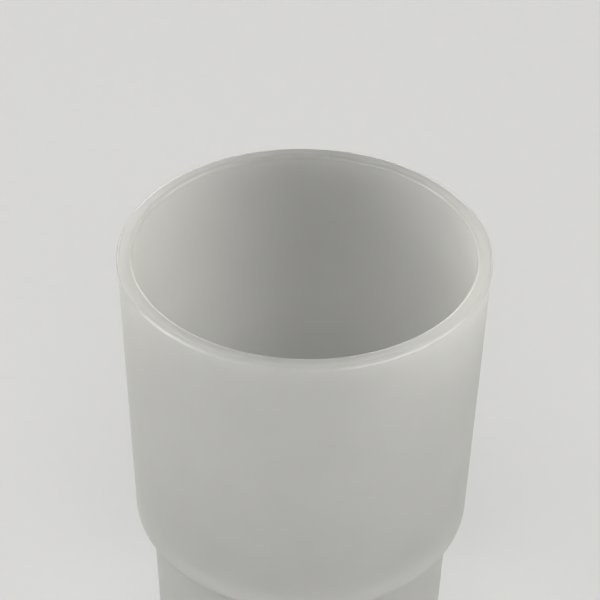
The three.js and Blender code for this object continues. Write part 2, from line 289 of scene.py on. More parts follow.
# %% Tumbler outline
RIM_FLARE = 0.2 * MM  # how far the rim stands proud of the wall
FLARE_HEIGHT = 4.4 * MM  # from the rim down to where the wall starts to flare
FLARE_LAND = 1.9 * MM  # upright edge above the flare
FLARE_ROUND = 20 * MM
RIM_WIDTH = 2.93 * MM
RIM_ROUND = 0.9 * MM
RIM_INNER_ROUND = 0.8 * MM
GLASS_WALL = 2.25 * MM  # at the shoulder, from where it thickens up to the rim
UPPER_DRAFT = math.tan(math.radians(1.34))
SHOULDER_WIDTH = 3 * MM
SHOULDER_ROUND = 1.7 * MM
SHOULDER_FILLET = 1 * MM
FOOT_HEIGHT = 50.2 * MM
FOOT_DRAFT = math.tan(math.radians(1.67))
FOOT_WALL = 2.6 * MM
BASE_THICKNESS = 7 * MM
BASE_ROUND = 2.2 * MM
BASE_LAND = 4 * MM  # width of the ring that the glass stands on
PUNT_DEPTH = 1.6 * MM  # hollow under the base
PUNT_SLOPE = 7 * MM
PUNT_ROUND = 2 * MM
INNER_SHOULDER_ROUND = 3 * MM
INNER_BASE_ROUND = 7 * MM

tumbler_low, tumbler_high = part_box("tumbler")
tumbler_foot = Vector((0, (tumbler_low.y + tumbler_high.y) / 2, tumbler_low.z))
tumbler_height = tumbler_high.z - tumbler_low.z
rim_radius = (tumbler_high.x - tumbler_low.x) / 2
wall_top_radius = rim_radius - RIM_FLARE
shoulder_radius = wall_top_radius - (tumbler_height - FOOT_HEIGHT) * UPPER_DRAFT
foot_top_radius = shoulder_radius - SHOULDER_WIDTH
base_radius = foot_top_radius - FOOT_HEIGHT * FOOT_DRAFT
print("rim", rim_radius / MM, "shoulder", shoulder_radius / MM, "base", base_radius / MM)

# %% [markdown]
# ## Frosted glass
# The glass is pressed clear and then etched inside and out. Light that enters is scattered at both faces,
# so the wall looks milky, glows where a lamp stands behind it and hides what is inside. A clear glass
# shader with high roughness would show a blurred view through the wall, which the real one does not.
# Subsurface scattering with a length of several walls lets most of the light soak through to the other
# face, as it does in the real piece. The etching itself is a grain of a few tenths of a millimetre. Only
# the top of the rim is fire-polished, so it is smoother there and shows thin bright lines along its
# edges.

# %% Frosted glass finish
MILKY_TONE = (0.600, 0.612, 0.572)
MILKY_SPREAD = (0.97, 1.03)
CLOUD_SIZE = 22 * MM
ETCH_GRAIN = 0.25 * MM
ETCH_ROUGHNESS = (0.5, 0.66)
ETCH_DEPTH = 0.02 * MM
ETCH_STRENGTH = 0.35
SWELL_SIZE = 9 * MM  # slow waves left by the pressing
SWELL_DEPTH = 0.12 * MM
SWELL_STRENGTH = 0.25
GLASS_IOR = 1.5
SCATTER_LENGTH = 40 * MM
SCATTER_SHARES = (1, 1, 0.95)  # of that length, for red, green and blue
RIM_SHARE = 0.88  # the polished rim's tone, as a share of the etched wall's
RIM_ROUGHNESS = 0.2
POLISH_START = 1.3 * MM  # from the rim down to where the etching fades out
POLISH_FULL = 0.5 * MM


def above(tree, low, high):
    """0 below one height of the piece and 1 above another, with a soft step between."""
    place = tree.nodes.new("ShaderNodeTexCoord")
    split = tree.nodes.new("ShaderNodeSeparateXYZ")
    rise = tree.nodes.new("ShaderNodeMapRange")
    rise.interpolation_type = "SMOOTHSTEP"
    rise.inputs["From Min"].default_value = low
    rise.inputs["From Max"].default_value = high
    tree.links.new(place.outputs["Object"], split.inputs["Vector"])
    tree.links.new(split.outputs["Z"], rise.inputs["Value"])
    return rise.outputs["Result"]


def blended(tree, kind, share, first, second):
    """The first value where share is 0 and the second where it is 1."""
    mix = tree.nodes.new("ShaderNodeMix")
    mix.data_type = kind
    sockets = [socket for socket in mix.inputs if socket.enabled]
    tree.links.new(share, sockets[0])
    tree.links.new(first, sockets[1])
    sockets[2].default_value = second
    return next(socket for socket in mix.outputs if socket.enabled)


def frosted_glass_finish():
    finish, tree, shader = new_finish("frosted_glass")
    polished = above(tree, tumbler_high.z - POLISH_START, tumbler_high.z - POLISH_FULL)
    cloud = grain(tree, CLOUD_SIZE, detail=3)
    pale = mottled(tree, cloud, MILKY_TONE, *MILKY_SPREAD)
    etch = grain(tree, ETCH_GRAIN, detail=3)
    rough = between(tree, etch, *ETCH_ROUGHNESS)
    rim_tone = (*scaled(MILKY_TONE, RIM_SHARE), 1)
    tree.links.new(blended(tree, "RGBA", polished, pale, rim_tone), shader.inputs["Base Color"])
    tree.links.new(blended(tree, "FLOAT", polished, rough, RIM_ROUGHNESS), shader.inputs["Roughness"])
    swell = relief(tree, grain(tree, SWELL_SIZE, detail=1), SWELL_DEPTH, SWELL_STRENGTH)
    tree.links.new(relief(tree, etch, ETCH_DEPTH, ETCH_STRENGTH, swell), shader.inputs["Normal"])
    shader.inputs["IOR"].default_value = GLASS_IOR
    shader.inputs["Subsurface Weight"].default_value = 1
    shader.inputs["Subsurface Radius"].default_value = SCATTER_SHARES
    shader.inputs["Subsurface Scale"].default_value = SCATTER_LENGTH
    return finish


frosted_glass = frosted_glass_finish()
print("frosted glass scatters light over", SCATTER_LENGTH / MM, "mm")

# %% Tumbler mesh
GLASS_SEGMENTS = 240
GLASS_STEP = 2.5 * MM
WANDER = 0.03 * MM
WANDER_WAVES = [(2, 0, 0.7), (3, 60, 0), (5, -90, 0)]  # waves round the glass, radians per metre up, start


def tumbler_outline():
    flare_start = tumbler_height - FLARE_HEIGHT
    inner_step = FOOT_HEIGHT + GLASS_WALL
    inner_foot = foot_top_radius - FOOT_WALL + GLASS_WALL * FOOT_DRAFT
    inner_base = base_radius - FOOT_WALL + BASE_THICKNESS * FOOT_DRAFT
    land_inner = base_radius - BASE_LAND
    return outline([
        (0, PUNT_DEPTH),
        (land_inner - PUNT_SLOPE, PUNT_DEPTH, PUNT_SLOPE),
        (land_inner, 0, PUNT_ROUND),
        (base_radius, 0, BASE_ROUND),
        (foot_top_radius, FOOT_HEIGHT, SHOULDER_FILLET),
        (shoulder_radius, FOOT_HEIGHT, SHOULDER_ROUND),
        (wall_top_radius - FLARE_HEIGHT * UPPER_DRAFT, flare_start, FLARE_ROUND),
        (rim_radius, tumbler_height - FLARE_LAND, FLARE_ROUND),
        (rim_radius, tumbler_height, RIM_ROUND),
        (rim_radius - RIM_WIDTH, tumbler_height, RIM_INNER_ROUND),
        (shoulder_radius - GLASS_WALL, inner_step, INNER_SHOULDER_ROUND),
        (inner_foot, inner_step, INNER_SHOULDER_ROUND),
        (inner_base, BASE_THICKNESS, INNER_BASE_ROUND),
        (0, BASE_THICKNESS),
    ])


def glass_wander(angle, radius, height):
    """Draws the wall in by a few hundredths of a millimetre, differently round and up the glass."""
    swing = sum(math.sin(waves * angle + climb * height + start) for waves, climb, start in WANDER_WAVES)
    most = len(WANDER_WAVES)
    return radius - WANDER * (most + swing) / (2 * most)


tumbler = turned("frosted_tumbler", divided(tumbler_outline(), GLASS_STEP), GLASS_SEGMENTS, glass_wander)
dress(tumbler, "tumbler", frosted_glass, Matrix.Translation(tumbler_foot), "tumbler")

# %% [markdown]
# ## Chrome
# The ring, arm and flange are cast or turned brass, polished and plated. Chrome is nearly a mirror, so
# its look is mostly what it reflects. What makes it believable is the little that breaks the mirror:
# faint wiping marks that vary the roughness, and a very shallow unevenness left by the polishing wheel.

# %% Chrome finish
CHROME_TONE = (0.72, 0.735, 0.75)
CHROME_SPREAD = (0.96, 1.03)
CHROME_ROUGHNESS = (0.05, 0.13)
SMUDGE_SIZE = 14 * MM
WIPE_SIZE = 0.9 * MM
WIPE_STRETCH = (1, 1, 0.12)  # the marks are long upwards
WIPE_DEPTH = 0.002 * MM
WIPE_STRENGTH = 0.15
WHEEL_SIZE = 6 * MM  # unevenness left by the polishing wheel
WHEEL_DEPTH = 0.03 * MM
WHEEL_STRENGTH = 0.2


def chrome_finish():
    finish, tree, shader = new_finish("chrome")
    smudge = grain(tree, SMUDGE_SIZE, detail=4)
    wipe = grain(tree, WIPE_SIZE, detail=3, stretch=WIPE_STRETCH)
    tree.links.new(mottled(tree, smudge, CHROME_TONE, *CHROME_SPREAD), shader.inputs["Base Color"])
    tree.links.new(between(tree, smudge, *CHROME_ROUGHNESS), shader.inputs["Roughness"])
    polish = relief(tree, grain(tree, WHEEL_SIZE, detail=1), WHEEL_DEPTH, WHEEL_STRENGTH)
    tree.links.new(relief(tree, wipe, WIPE_DEPTH, WIPE_STRENGTH, polish), shader.inputs["Normal"])
    shader.inputs["Metallic"].default_value = 1
    return finish


chrome = chrome_finish()
print("chrome roughness, lowest and highest:", *CHROME_ROUGHNESS)

# %% [markdown]
# ## The holder ring
# A low ring with an inward lip at its bottom, and a short round boss where the arm meets it. The ring is
# turned, the boss is joined on, and the countersunk hole for its screw is cut from the inside, as on the
# real casting.

# %% Ring, boss and screw hole
RING_WALL = 2.4 * MM
RING_EDGE_ROUND = 1.1 * MM
LIP_WIDTH = 6 * MM
LIP_THICKNESS = 2.6 * MM
LIP_EDGE_ROUND = 0.8 * MM
LIP_CORNER = 0.4 * MM
BOSS_EDGE = 0.3 * MM
HEAD_EDGE = 0.4 * MM  # straight edge of a countersunk head
FIT_GAP = 0.3 * MM
OVERCUT = 2 * MM
RING_SEGMENTS = 192
ROD_SEGMENTS = 64

ring_low, ring_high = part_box("holder_ring")
arm_low, arm_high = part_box("support_arm")
ring_radius = (ring_high.x - ring_low.x) / 2
ring_bore = ring_radius - RING_WALL
lip_radius = ring_bore - LIP_WIDTH
lip_top = ring_low.z + LIP_THICKNESS
boss_face = ring_high.y - tumbler_foot.y
arm_radius = arm_high.x
TOWARDS_WALL = Matrix.Rotation(-math.pi / 2, 4, "X")  # local Z becomes +Y
FROM_WALL = Matrix.Rotation(math.pi / 2, 4, "X")  # local Z becomes the distance from the wall
RING_AXIS = Matrix.Translation((0, tumbler_foot.y, 0))


def countersunk_hole(shank_radius, head_radius, length):
    """A cutter along -Z for a screw whose head's face is at z = 0, one fit gap wider all round."""
    bore = shank_radius + FIT_GAP
    mouth = head_radius + FIT_GAP
    cone_top = -HEAD_EDGE - FIT_GAP / 2
    cone_end = cone_top - (mouth - bore)
    shank_corners = [(0, -length), (bore, -length), (bore, cone_end)]
    head_corners = [(mouth, cone_top), (mouth, OVERCUT), (0, OVERCUT)]
    return turned("hole_cutter", outline(shank_corners + head_corners), ROD_SEGMENTS)


def make_ring():
    ring = turned("chrome_ring", divided(outline([
        (lip_radius, ring_low.z, LIP_EDGE_ROUND),
        (ring_radius, ring_low.z, RING_EDGE_ROUND),
        (ring_radius, ring_high.z, RING_EDGE_ROUND),
        (ring_bore, ring_high.z, RING_EDGE_ROUND),
        (ring_bore, lip_top, LIP_CORNER),
        (lip_radius, lip_top, LIP_EDGE_ROUND),
    ], closed=True), RING_EDGE_ROUND), RING_SEGMENTS)
    boss_root = ring_bore + RING_WALL / 4
    boss = turned("boss", outline([
        (0, boss_root),
        (arm_radius, boss_root),
        (arm_radius, boss_face, BOSS_EDGE),
        (0, boss_face),
    ]), ROD_SEGMENTS)
    boss.data.transform(TOWARDS_WALL)
    carve(ring, boss, "UNION")
    return ring


ring_screw_low, ring_screw_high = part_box("ring_screw")
RING_SCREW_SHANK = 2 * MM
ring_screw_head = ring_screw_high.x
ring_screw_face = -ring_screw_low.y  # distance from the wall
ring = make_ring()
ring_hole = countersunk_hole(RING_SCREW_SHANK, ring_screw_head, boss_face)
ring_hole.data.transform(Matrix.Translation((0, -ring_screw_face - tumbler_foot.y, 0)) @ FROM_WALL)
carve(ring, ring_hole)
dress(ring, "holder_ring", chrome, RING_AXIS)

# %% [markdown]
# ## The arm and the flange
# The arm is a round bar with a thinner end that centres the flange, and a tapped hole at either end. The
# holes are part of the turned outline, so no cutting is needed. The flange is a shallow cup. Only the
# small hole for its grub screw, low on its rim, has to be cut.

# %% Arm
SPIGOT_STEP = 2 * MM
SPIGOT_LENGTH = 2.5 * MM
ARM_EDGE = 0.35 * MM
ARM_SCREW_SHANK = 2.5 * MM
TAP_DEPTH = 1.5 * MM
DRILL_POINT = 0.6  # a drill's point is this share of its radius deep

arm_screw_low, arm_screw_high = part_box("arm_screw")
spigot_end = -arm_high.y
arm_start = spigot_end + SPIGOT_LENGTH
arm_end = -arm_low.y
spigot_radius = arm_radius - SPIGOT_STEP


def make_arm():
    near_bore = ARM_SCREW_SHANK + FIT_GAP
    far_bore = RING_SCREW_SHANK + FIT_GAP
    near_depth = -arm_screw_low.y + TAP_DEPTH
    far_depth = -ring_screw_high.y - TAP_DEPTH
    return turned("chrome_arm", outline([
        (0, near_depth + DRILL_POINT * near_bore),
        (near_bore, near_depth),
        (near_bore, spigot_end, ARM_EDGE),
        (spigot_radius, spigot_end, ARM_EDGE),
        (spigot_radius, arm_start),
        (arm_radius, arm_start, ARM_EDGE),
        (arm_radius, arm_end, ARM_EDGE),
        (far_bore, arm_end, ARM_EDGE),
        (far_bore, far_depth),
        (0, far_depth - DRILL_POINT * far_bore),
    ]), ROD_SEGMENTS)


dress(make_arm(), "support_arm", chrome, FROM_WALL)

# %% Flange
FLANGE_FACE = 2.5 * MM
FLANGE_WALL = 3.2 * MM
FLANGE_ROUND = 3 * MM
FLANGE_INNER_ROUND = 1 * MM
FLANGE_BACK_ROUND = 0.5 * MM
FLANGE_HOLE_ROUND = 0.3 * MM
FLANGE_SEGMENTS = 160

flange_low, flange_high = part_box("wall_flange")
grub_low, grub_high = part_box("grub_screw")
flange_radius = flange_high.x
flange_depth = -flange_low.y
grub_radius = grub_high.x
grub_height = -(grub_low.y + grub_high.y) / 2


def make_flange():
    spigot_hole = spigot_radius + FIT_GAP
    inner = flange_radius - FLANGE_WALL
    inside = flange_depth - FLANGE_FACE
    flange = turned("chrome_flange", divided(outline([
        (spigot_hole, inside, FLANGE_HOLE_ROUND),
        (inner, inside, FLANGE_INNER_ROUND),
        (inner, 0, FLANGE_BACK_ROUND),
        (flange_radius, 0, FLANGE_BACK_ROUND),
        (flange_radius, flange_depth, FLANGE_ROUND),
        (spigot_hole, flange_depth, FLANGE_HOLE_ROUND),
    ], closed=True), FLANGE_ROUND), FLANGE_SEGMENTS)
    bore = grub_radius + FIT_GAP
    start = inner - OVERCUT
    end = flange_radius + OVERCUT
    hole = turned("grub_hole", outline([(0, start), (bore, start), (bore, end), (0, end)]), ROD_SEGMENTS)
    hole.data.transform(Matrix.Translation((0, 0, grub_height)) @ FROM_WALL)
    carve(flange, hole)
    return flange


dress(make_flange(), "wall_flange", chrome, FROM_WALL)

# %% [markdown]
# ## Zinc plate and the hidden hardware
# Wall plate, washer and screws are pressed or turned steel with a bright zinc coat. Zinc is duller and
# bluer than chrome, with a faint cloudy crystal pattern, so its roughness is higher and its tone varies
# more.

# %% Zinced steel finish
ZINC_TONE = (0.50, 0.525, 0.55)
ZINC_ROUGHNESS = (0.24, 0.4)
CRYSTAL_SIZE = 3.5 * MM
CRYSTAL_STOPS = (0.32, 0.68)
DARK_CRYSTALS = 0.86  # their tone, as a share of the zinc's
LIGHT_CRYSTALS = (1.12, 1.09, 1.02)  # the same for red, green and blue
COAT_GRAIN = 0.35 * MM
COAT_DEPTH = 0.01 * MM
COAT_STRENGTH = 0.25


def zinced_steel_finish():
    finish, tree, shader = new_finish("zinced_steel")
    crystals = grain(tree, CRYSTAL_SIZE, detail=4)
    fine = grain(tree, COAT_GRAIN, detail=2)
    dark = scaled(ZINC_TONE, DARK_CRYSTALS)
    light = tuple(channel * share for channel, share in zip(ZINC_TONE, LIGHT_CRYSTALS))
    stops = list(zip(CRYSTAL_STOPS, (dark, light)))
    tree.links.new(tones(tree, crystals, stops), shader.inputs["Base Color"])
    tree.links.new(between(tree, crystals, *ZINC_ROUGHNESS), shader.inputs["Roughness"])
    tree.links.new(relief(tree, fine, COAT_DEPTH, COAT_STRENGTH), shader.inputs["Normal"])
    shader.inputs["Metallic"].default_value = 1
    return finish


zinced_steel = zinced_steel_finish()
print("zinc roughness, lowest and highest:", *ZINC_ROUGHNESS)

# %% Wall plate
PLATE_UNDERCUT = 1.6 * MM
PLATE_FLOOR = 3.5 * MM
PLATE_EDGE = 0.3 * MM
POCKET_CLEARANCE = 0.8 * MM
WALL_SCREW_SHANK = 2 * MM

plate_low, plate_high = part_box("wall_plate")
washer_low, washer_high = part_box("arm_washer")
plate_radius = plate_high.x
plate_thickness = -plate_low.y
pocket_radius = washer_high.x + POCKET_CLEARANCE


def make_plate():
    plate = turned("zinc_plate", outline([
        (0, 0),
        (plate_radius - PLATE_UNDERCUT, 0, PLATE_EDGE),
        (plate_radius, plate_thickness, PLATE_EDGE),
        (pocket_radius, plate_thickness, PLATE_EDGE),
        (pocket_radius, PLATE_FLOOR, PLATE_EDGE),
        (0, PLATE_FLOOR),
    ]), FLANGE_SEGMENTS)
    for side in ("left", "right"):
        low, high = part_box("wall_screw_" + side)
        head = (high.x - low.x) / 2
        hole = countersunk_hole(WALL_SCREW_SHANK, head, plate_thickness + OVERCUT)
        hole.data.transform(Matrix.Translation(((low.x + high.x) / 2, 0, plate_thickness)))
        carve(plate, hole)
    return plate


dress(make_plate(), "wall_plate", zinced_steel, FROM_WALL)

# %% Washer
WASHER_EDGE = 0.15 * MM


def make_washer():
    hole = ARM_SCREW_SHANK + FIT_GAP
    near = -washer_high.y
    far = -washer_low.y
    return turned("zinc_washer", outline([
        (hole, near, WASHER_EDGE),
        (washer_high.x, near, WASHER_EDGE),
        (washer_high.x, far, WASHER_EDGE),
        (hole, far, WASHER_EDGE),
    ], closed=True), ROD_SEGMENTS)


dress(make_washer(), "arm_washer", zinced_steel, FROM_WALL)

# %% [markdown]
# ## Screws with real threads
# A thread is one groove that climbs by its pitch on each turn. Blender can sweep a profile along a helix,
# but here the lathe does it: the radius drops by the groove's depth, at a height that depends on the
# angle. The crest stays at the shank's own radius, so the screw is no thicker than its solid. Cross
# recesses and the hex socket are cut afterwards.

# %% Thread and recess helpers
THREAD_ROWS = 8  # rings of points in one pitch
SCREW_SEGMENTS = 40
THREAD_DEPTH = 0.6  # a metric thread's depth, as a share of its pitch
CROSS_WIDTH = 1.1 * MM
CROSS_SHARE = 0.62  # of the head's diameter
CROSS_DEPTH = 1.3 * MM
CROSS_TAPER = 0.55  # a recess's width at its bottom, as a share of its width at the top


def limited(value, low=0.0, high=1.0):
    return max(low, min(high, value))


def thread_groove(pitch, depth, low, high, crest):
    """A right-handed groove from low to high. crest is the share of the pitch at full radius."""
    def reach(angle, radius, height):
        turn = (height / pitch - angle / math.tau) % 1
        flank = limited((abs(2 * turn - 1) - crest) / (1 - crest))
        runs_out = limited((high - height) / pitch) * limited((height - low) / pitch)
        return radius - min(depth, radius / 2) * flank * runs_out
    return reach


def cross_recess(piece, head_radius, face):
    """Cuts two crossed wedges into a head whose face is at this height."""
    span = 2 * head_radius * CROSS_SHARE
    for turn in (0, math.pi / 2):
        mesh = bmesh.new()
        bmesh.ops.create_cube(mesh, size=1)
        for corner in mesh.verts:
            bottom = corner.co.z < 0
            narrow = CROSS_TAPER if bottom else 1
            corner.co.x *= span * narrow
            corner.co.y *= CROSS_WIDTH * narrow
            corner.co.z = face + (-CROSS_DEPTH if bottom else CROSS_WIDTH)
        wedge = new_piece("recess_cutter", mesh)
        wedge.data.transform(Matrix.Rotation(turn, 4, "Z"))
        carve(piece, wedge)


def countersunk_screw(name, shank, head, length, tip, taper, pitch, depth, crest, thread_top):
    """Along -Z with its head's face at z = 0, threaded from its tip up to thread_top."""
    cone_end = -HEAD_EDGE - (head - shank)
    points = outline([
        (0, -length),
        (tip, -length),
        (shank, taper - length),
        (shank, cone_end),
        (head, -HEAD_EDGE),
        (head, 0, HEAD_EDGE / 2),
        (0, 0),
    ])
    points = divided(points, pitch / THREAD_ROWS, -length, cone_end)
    groove = thread_groove(pitch, depth, -length, thread_top, crest)
    screw = turned(name, points, SCREW_SEGMENTS, groove)
    cross_recess(screw, head, 0)
    return screw


print("threads have", THREAD_ROWS, "rows of points in each pitch")

# %% Ring screw and wall screws
RING_SCREW_PITCH = 0.7 * MM
RING_SCREW_CHAMFER = 0.5 * MM
WALL_SCREW_PITCH = 1.8 * MM
WALL_SCREW_THREAD_DEPTH = 0.55 * MM
WALL_SCREW_POINT = 5 * MM
WALL_SCREW_TIP = 0.2 * MM
WALL_THREAD_SHARE = 0.72  # of the screw's length, from its point
MACHINE_CREST = 0.12  # share of the pitch at full radius
WOOD_CREST = 0.25


def make_ring_screw():
    length = ring_screw_high.y - ring_screw_low.y
    head_cone = ring_screw_head - RING_SCREW_SHANK + HEAD_EDGE
    tip = RING_SCREW_SHANK - RING_SCREW_CHAMFER
    depth = THREAD_DEPTH * RING_SCREW_PITCH
    return countersunk_screw("ring_countersunk_screw", RING_SCREW_SHANK, ring_screw_head, length, tip,
                             RING_SCREW_CHAMFER, RING_SCREW_PITCH, depth, MACHINE_CREST, -head_cone)


def make_wall_screw(side, head, length):
    thread_top = -length * (1 - WALL_THREAD_SHARE)
    return countersunk_screw("wood_screw_" + side, WALL_SCREW_SHANK, head, length, WALL_SCREW_TIP,
                             WALL_SCREW_POINT, WALL_SCREW_PITCH, WALL_SCREW_THREAD_DEPTH, WOOD_CREST,
                             thread_top)


dress(make_ring_screw(), "ring_screw", zinced_steel, FROM_WALL @ Matrix.Translation((0, 0, ring_screw_face)))

for side in ("left", "right"):
    low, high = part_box("wall_screw_" + side)
    wall_screw = make_wall_screw(side, (high.x - low.x) / 2, high.y - low.y)
    place = Matrix.Translation(((low.x + high.x) / 2, 0, -low.y))
    dress(wall_screw, "wall_screw_" + side, zinced_steel, FROM_WALL @ place)

# %% Arm screw and grub screw
ARM_SCREW_PITCH = 0.8 * MM
ARM_SCREW_HEAD_HEIGHT = 2.6 * MM
ARM_SCREW_HEAD_ROUND = 1.8 * MM
ARM_SCREW_CHAMFER = 0.4 * MM
GRUB_PITCH = 0.7 * MM
GRUB_TIP = 0.8 * MM
GRUB_EDGE = 0.2 * MM
GRUB_SOCKET = 2 * MM  # across the flats
GRUB_SOCKET_DEPTH = 1.6 * MM
HEXAGON = 6


def make_arm_screw():
    """Along -Z with the flat underside of its head at z = 0."""
    length = arm_screw_high.y - arm_screw_low.y - ARM_SCREW_HEAD_HEIGHT
    head = arm_screw_high.x
    points = outline([
        (0, -length),
        (ARM_SCREW_SHANK - ARM_SCREW_CHAMFER, -length),
        (ARM_SCREW_SHANK, ARM_SCREW_CHAMFER - length),
        (ARM_SCREW_SHANK, 0),
        (head, 0, HEAD_EDGE / 2),
        (head, ARM_SCREW_HEAD_HEIGHT, ARM_SCREW_HEAD_ROUND),
        (0, ARM_SCREW_HEAD_HEIGHT),
    ])
    points = divided(points, ARM_SCREW_PITCH / THREAD_ROWS, -length, 0)
    groove = thread_groove(ARM_SCREW_PITCH, THREAD_DEPTH * ARM_SCREW_PITCH, -length, 0, MACHINE_CREST)
    screw = turned("pan_head_screw", points, SCREW_SEGMENTS, groove)
    cross_recess(screw, head, ARM_SCREW_HEAD_HEIGHT)
    return screw


def make_grub_screw():
    """Along -Z with its socket's face at z = 0 and a cone at the far end."""
    length = grub_high.z - grub_low.z
    points = outline([
        (0, -length),
        (GRUB_TIP, -length),
        (grub_radius, grub_radius - GRUB_TIP - length),
        (grub_radius, 0, GRUB_EDGE),
        (0, 0),
    ])
    points = divided(points, GRUB_PITCH / THREAD_ROWS, GRUB_TIP - length, 0)
    depth = THREAD_DEPTH * GRUB_PITCH
    groove = thread_groove(GRUB_PITCH, depth, GRUB_TIP - length, GRUB_PITCH, MACHINE_CREST)
    screw = turned("hex_grub_screw", points, SCREW_SEGMENTS, groove)
    corner = GRUB_SOCKET / math.sqrt(3)
    bottom = -GRUB_SOCKET_DEPTH
    socket_corners = [(0, bottom), (corner, bottom), (corner, OVERCUT), (0, OVERCUT)]
    carve(screw, turned("socket_cutter", outline(socket_corners), HEXAGON))
    return screw


arm_screw_seat = -arm_screw_high.y + ARM_SCREW_HEAD_HEIGHT
arm_screw_place = Matrix.Translation((0, -arm_screw_seat, 0))
dress(make_arm_screw(), "arm_screw", zinced_steel, arm_screw_place @ TOWARDS_WALL)
TURNED_OVER = Matrix.Rotation(math.pi, 4, "X")
grub_place = Matrix.Translation((0, -grub_height, grub_low.z))
dress(make_grub_screw(), "grub_screw", zinced_steel, grub_place @ TURNED_OVER)

# %% [markdown]
# ## Soft seat and wall plugs
# The glass stands on a soft ring that keeps it from ringing on the metal, and the wall screws bite into
# plugs with barbs. Silicone and nylon are both matt. Silicone lets a little light in, and nylon shows the
# fine spark-worn texture of its mould.

# %% Silicone and nylon finishes
SILICONE_TONE = (0.155, 0.170, 0.172)
SILICONE_GRAIN = 0.3 * MM
SILICONE_ROUGHNESS = (0.5, 0.66)
SILICONE_SOAK = 0.4  # share of the light that soaks in
NYLON_TONE = (0.275, 0.295, 0.305)
NYLON_GRAIN = 0.18 * MM
NYLON_ROUGHNESS = (0.48, 0.62)
NYLON_SOAK = 0.15
MATT_CLOUD = 6 * MM
MATT_SPREAD = (0.9, 1.1)
MATT_DEPTH = 0.02 * MM
MATT_STRENGTH = 0.4
MATT_SCATTER = 0.6 * MM


def matt_finish(name, tone, grain_size, roughness, soak):
    finish, tree, shader = new_finish(name)
    cloud = grain(tree, MATT_CLOUD, detail=3)
    fine = grain(tree, grain_size, detail=3)
    tree.links.new(mottled(tree, cloud, tone, *MATT_SPREAD), shader.inputs["Base Color"])
    tree.links.new(between(tree, fine, *roughness), shader.inputs["Roughness"])
    tree.links.new(relief(tree, fine, MATT_DEPTH, MATT_STRENGTH), shader.inputs["Normal"])
    shader.inputs["Subsurface Weight"].default_value = soak
    shader.inputs["Subsurface Scale"].default_value = MATT_SCATTER
    return finish


soft_silicone = matt_finish("soft_silicone", SILICONE_TONE, SILICONE_GRAIN, SILICONE_ROUGHNESS,
                            SILICONE_SOAK)
grey_nylon = matt_finish("grey_nylon", NYLON_TONE, NYLON_GRAIN, NYLON_ROUGHNESS, NYLON_SOAK)
print("matt finishes:", soft_silicone.name, grey_nylon.name)

# %% Seat
SEAT_WIDTH = 4.9 * MM
SEAT_EDGE_ROUND = 0.4 * MM
SEAT_RIBS = 3
SEAT_RIB_DEPTH = 0.15 * MM

seat_low, seat_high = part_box("tumbler_seat")


def make_seat():
    """A flat ring with shallow grooves in its top, where water can drain from under the glass."""
    outer = (seat_high.x - seat_low.x) / 2
    inner = outer - SEAT_WIDTH
    ribs = []
    pitch = SEAT_WIDTH / (SEAT_RIBS + 1)
    for rib in range(SEAT_RIBS):
        middle = outer - pitch * (rib + 1)
        ribs.append((middle + pitch / 4, seat_high.z, SEAT_RIB_DEPTH))
        ribs.append((middle, seat_high.z - SEAT_RIB_DEPTH, SEAT_RIB_DEPTH))
        ribs.append((middle - pitch / 4, seat_high.z, SEAT_RIB_DEPTH))
    return turned("silicone_seat", outline([
        (inner, seat_low.z, SEAT_EDGE_ROUND),
        (outer, seat_low.z, SEAT_EDGE_ROUND),
        (outer, seat_high.z, SEAT_EDGE_ROUND),
        *ribs,
        (inner, seat_high.z, SEAT_EDGE_ROUND),
    ], closed=True), RING_SEGMENTS)


dress(make_seat(), "tumbler_seat", soft_silicone, RING_AXIS)

# %% Wall plugs
PLUG_WALL = 1.2 * MM
PLUG_COLLAR = 6 * MM
PLUG_BARBS = 4
PLUG_BARB_DEPTH = 0.6 * MM
PLUG_BARB_EDGE = 0.12 * MM
PLUG_SLIT = 1.1 * MM


def make_plug(name, radius, length):
    """Along -Z from its collar, with barbs that narrow to the far end and a slit between its two legs."""
    bore = radius - PLUG_WALL
    pitch = (length - PLUG_COLLAR) / PLUG_BARBS
    barbs = []
    for barb in range(PLUG_BARBS, 0, -1):
        far = -PLUG_COLLAR - barb * pitch
        barbs.append((radius - PLUG_BARB_DEPTH, far, PLUG_BARB_EDGE))
        barbs.append((radius, far + pitch, PLUG_BARB_EDGE))
    plug = turned(name, outline([
        (bore, -length, PLUG_BARB_EDGE),
        *barbs,
        (radius, 0, PLUG_BARB_EDGE),
        (bore, 0, PLUG_BARB_EDGE),
    ], closed=True), ROD_SEGMENTS)
    mesh = bmesh.new()
    bmesh.ops.create_cube(mesh, size=1)
    for corner in mesh.verts:
        corner.co.x *= PLUG_SLIT
        corner.co.y *= 2 * (radius + OVERCUT)
        corner.co.z = -PLUG_COLLAR if corner.co.z > 0 else -length - OVERCUT
    carve(plug, new_piece("slit_cutter", mesh))
    return plug


for side in ("left", "right"):
    low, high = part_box("wall_plug_" + side)
    plug = make_plug("barbed_plug_" + side, (high.x - low.x) / 2, high.y - low.y)
    place = Matrix.Translation(((low.x + high.x) / 2, 0, -low.y))
    dress(plug, "wall_plug_" + side, grey_nylon, FROM_WALL @ place)

# %% [markdown]
# ## Floor and backdrop
# A plain pale sheet lies under the object, wide enough to fill every view. It could simply be lit until
# it looks pale, but then it would flood the glass with light from below. So it glows a little and has a
# lighter colour for rays that show it, straight or by way of metal and glass, and throws little light
# back otherwise. The Light Path node tells the two kinds of ray apart. A diffuse part takes the shadow,
# and the sheet is clear from below, so that the underside of the ring can be seen.

